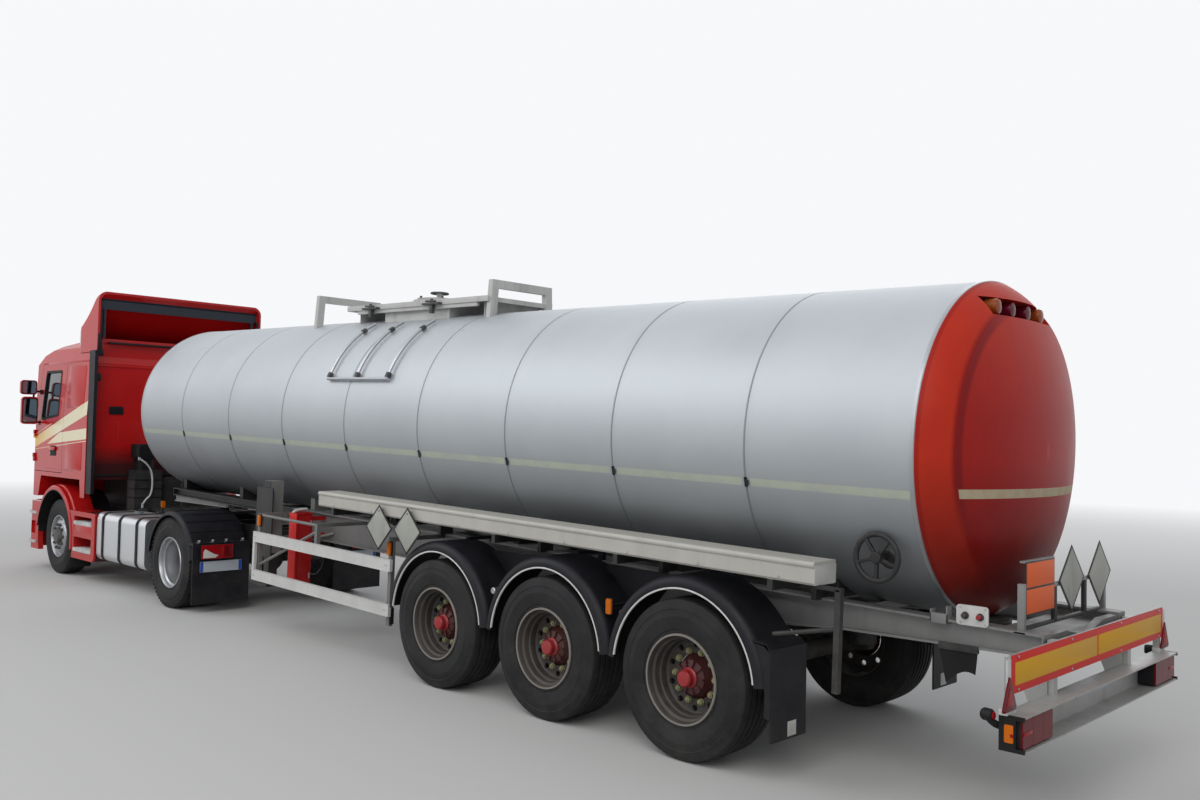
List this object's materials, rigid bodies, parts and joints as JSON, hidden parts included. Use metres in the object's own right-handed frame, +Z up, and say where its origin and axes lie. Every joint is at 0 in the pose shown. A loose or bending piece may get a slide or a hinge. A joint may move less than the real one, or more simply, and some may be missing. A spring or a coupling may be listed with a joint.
{
  "type": "tanker truck",
  "caption": "Articulated tanker: red cab-over tractor with an insulated tank semi-trailer on three axles, hinged at its fifth wheel.",
  "frame": {"origin": "centre of the overall box in plan, on the ground under the tyres", "axes": "+X forward along the vehicle, +Y to the driver's left side, +Z up"},
  "size_m": [15.14, 3.01, 3.9139],
  "materials": {
    "tyre": "dusty black rubber",
    "trailer_rim": "brown grey dusty paint",
    "tractor_rim": "silver paint",
    "clad": "brushed sheet, weathered",
    "red_paint": "gloss red",
    "dome_paint": "orange red gloss",
    "frame_black": "satin black chassis paint",
    "frame_grey": "grey chassis paint",
    "cream": "cream white paint",
    "grey_paint": "warm grey paint",
    "steel": "bright steel tube",
    "cast": "greasy cast iron",
    "black_plastic": "black moulded plastic",
    "mirror_shell": "black moulded plastic",
    "tank_alu": "bright aluminium sheet",
    "lamp": "coloured lens",
    "clear_lamp": "clear lens",
    "glass": "tinted glass",
    "trim": "dark grey cloth and moulding"
  },
  "bodies": {
    "tractor": {"tractor_frame": "frame_black", "fifth_wheel": "cast", "tractor_axles": "frame_black", "powertrain": "cast", "fuel_tanks": "tank_alu", "drive_mudguards": "black_plastic", "front_arches": "red_paint", "front_bumper": "red_paint", "tractor_lamps": "clear_lamp"},
    "trailer": {"tank_shell": "clad", "rear_dome": "dome_paint", "top_gear": "grey_paint", "drip_tubes": "steel", "trailer_frame": "frame_grey", "trailer_axles": "frame_black", "trailer_mudguards": "black_plastic", "side_boxes": "cream", "side_guards": "cream", "landing_legs": "frame_black", "tool_cabinet": "red_paint", "rear_bumper": "frame_grey", "trailer_lamps": "lamp", "outlet_gear": "cast", "kingpin_plate": "frame_grey"},
    "manhole_lid": {"manhole_lid": "grey_paint"},
    "cab": {"cab_shell": "red_paint", "windscreen": "glass", "roof_deflector": "red_paint", "grille": "red_paint", "side_extenders": "black_plastic", "cab_interior": "trim"},
    "tie_rod": {"tie_rod": "frame_black"},
    "door_left": {"door_left": "red_paint", "door_glass_left": "glass", "mirror_left": "mirror_shell"},
    "knuckle_left": {"knuckle_left": "cast"},
    "front_wheel_left": {"front_tyre_left": "tyre", "front_rim_left": "tractor_rim"},
    "drive_wheel_left": {"drive_tyre_left": "tyre", "drive_rim_left": "tractor_rim"},
    "trailer1_wheel_left": {"trailer1_tyre_left": "tyre", "trailer1_rim_left": "trailer_rim"},
    "trailer2_wheel_left": {"trailer2_tyre_left": "tyre", "trailer2_rim_left": "trailer_rim"},
    "trailer3_wheel_left": {"trailer3_tyre_left": "tyre", "trailer3_rim_left": "trailer_rim"},
    "door_right": {"door_right": "red_paint", "door_glass_right": "glass", "mirror_right": "mirror_shell"},
    "knuckle_right": {"knuckle_right": "cast"},
    "front_wheel_right": {"front_tyre_right": "tyre", "front_rim_right": "tractor_rim"},
    "drive_wheel_right": {"drive_tyre_right": "tyre", "drive_rim_right": "tractor_rim"},
    "trailer1_wheel_right": {"trailer1_tyre_right": "tyre", "trailer1_rim_right": "trailer_rim"},
    "trailer2_wheel_right": {"trailer2_tyre_right": "tyre", "trailer2_rim_right": "trailer_rim"},
    "trailer3_wheel_right": {"trailer3_tyre_right": "tyre", "trailer3_rim_right": "trailer_rim"}
  },
  "joints": [
    {"name": "fifth_wheel_pivot", "type": "hinge", "parent": "tractor", "child": "trailer", "pos_m": [2.95, 0, 1.15], "axis": [0, 0, 1], "range_deg": [-90, 90]},
    {"name": "cab_tilt", "type": "hinge", "parent": "tractor", "child": "cab", "pos_m": [7.45, 0, 1.03], "axis": [0, 1, 0], "range_deg": [0, 60]},
    {"name": "manhole_lid_hinge", "type": "hinge", "parent": "trailer", "child": "manhole_lid", "pos_m": [-1.32455, 0, 3.41474], "axis": [0, -1, 0], "range_deg": [0, 110]},
    {"name": "door_left_hinge", "type": "hinge", "parent": "cab", "child": "door_left", "pos_m": [7.107, 1.237, 1.8], "axis": [0, 0, -1], "range_deg": [0, 70]},
    {"name": "steer_left", "type": "hinge", "parent": "tractor", "child": "knuckle_left", "pos_m": [6.165, 0.84, 0.525], "axis": [0, 0, 1], "range_deg": [-40, 40]},
    {"name": "front_wheel_left_spin", "type": "hinge", "parent": "knuckle_left", "child": "front_wheel_left", "pos_m": [6.165, 1.035, 0.525], "axis": [0, 1, 0], "continuous": true},
    {"name": "drive_wheel_left_spin", "type": "hinge", "parent": "tractor", "child": "drive_wheel_left", "pos_m": [2.391, 0.92, 0.525], "axis": [0, 1, 0], "continuous": true},
    {"name": "trailer1_wheel_left_spin", "type": "hinge", "parent": "trailer", "child": "trailer1_wheel_left", "pos_m": [-2.71, 1.057, 0.525], "axis": [0, 1, 0], "continuous": true},
    {"name": "trailer2_wheel_left_spin", "type": "hinge", "parent": "trailer", "child": "trailer2_wheel_left", "pos_m": [-4.02, 1.057, 0.525], "axis": [0, 1, 0], "continuous": true},
    {"name": "trailer3_wheel_left_spin", "type": "hinge", "parent": "trailer", "child": "trailer3_wheel_left", "pos_m": [-5.33, 1.057, 0.525], "axis": [0, 1, 0], "continuous": true},
    {"name": "door_right_hinge", "type": "hinge", "parent": "cab", "child": "door_right", "pos_m": [7.107, -1.237, 1.8], "axis": [0, 0, 1], "range_deg": [0, 70]},
    {"name": "steer_right", "type": "hinge", "parent": "tractor", "child": "knuckle_right", "pos_m": [6.165, -0.84, 0.525], "axis": [0, 0, 1], "range_deg": [-40, 40]},
    {"name": "front_wheel_right_spin", "type": "hinge", "parent": "knuckle_right", "child": "front_wheel_right", "pos_m": [6.165, -1.035, 0.525], "axis": [0, 1, 0], "continuous": true},
    {"name": "drive_wheel_right_spin", "type": "hinge", "parent": "tractor", "child": "drive_wheel_right", "pos_m": [2.391, -0.92, 0.525], "axis": [0, 1, 0], "continuous": true},
    {"name": "trailer1_wheel_right_spin", "type": "hinge", "parent": "trailer", "child": "trailer1_wheel_right", "pos_m": [-2.71, -1.057, 0.525], "axis": [0, 1, 0], "continuous": true},
    {"name": "trailer2_wheel_right_spin", "type": "hinge", "parent": "trailer", "child": "trailer2_wheel_right", "pos_m": [-4.02, -1.057, 0.525], "axis": [0, 1, 0], "continuous": true},
    {"name": "trailer3_wheel_right_spin", "type": "hinge", "parent": "trailer", "child": "trailer3_wheel_right", "pos_m": [-5.33, -1.057, 0.525], "axis": [0, 1, 0], "continuous": true},
    {"name": "tie_rod_swing", "type": "hinge", "parent": "knuckle_left", "child": "tie_rod", "pos_m": [5.905, 0.73, 0.4], "axis": [0, 0, 1], "range_deg": [-40, 40]}
  ],
  "couplings": [
    {"joint": "steer_right", "follows": "steer_left", "ratio": 1},
    {"joint": "tie_rod_swing", "follows": "steer_left", "ratio": -1}
  ]
}
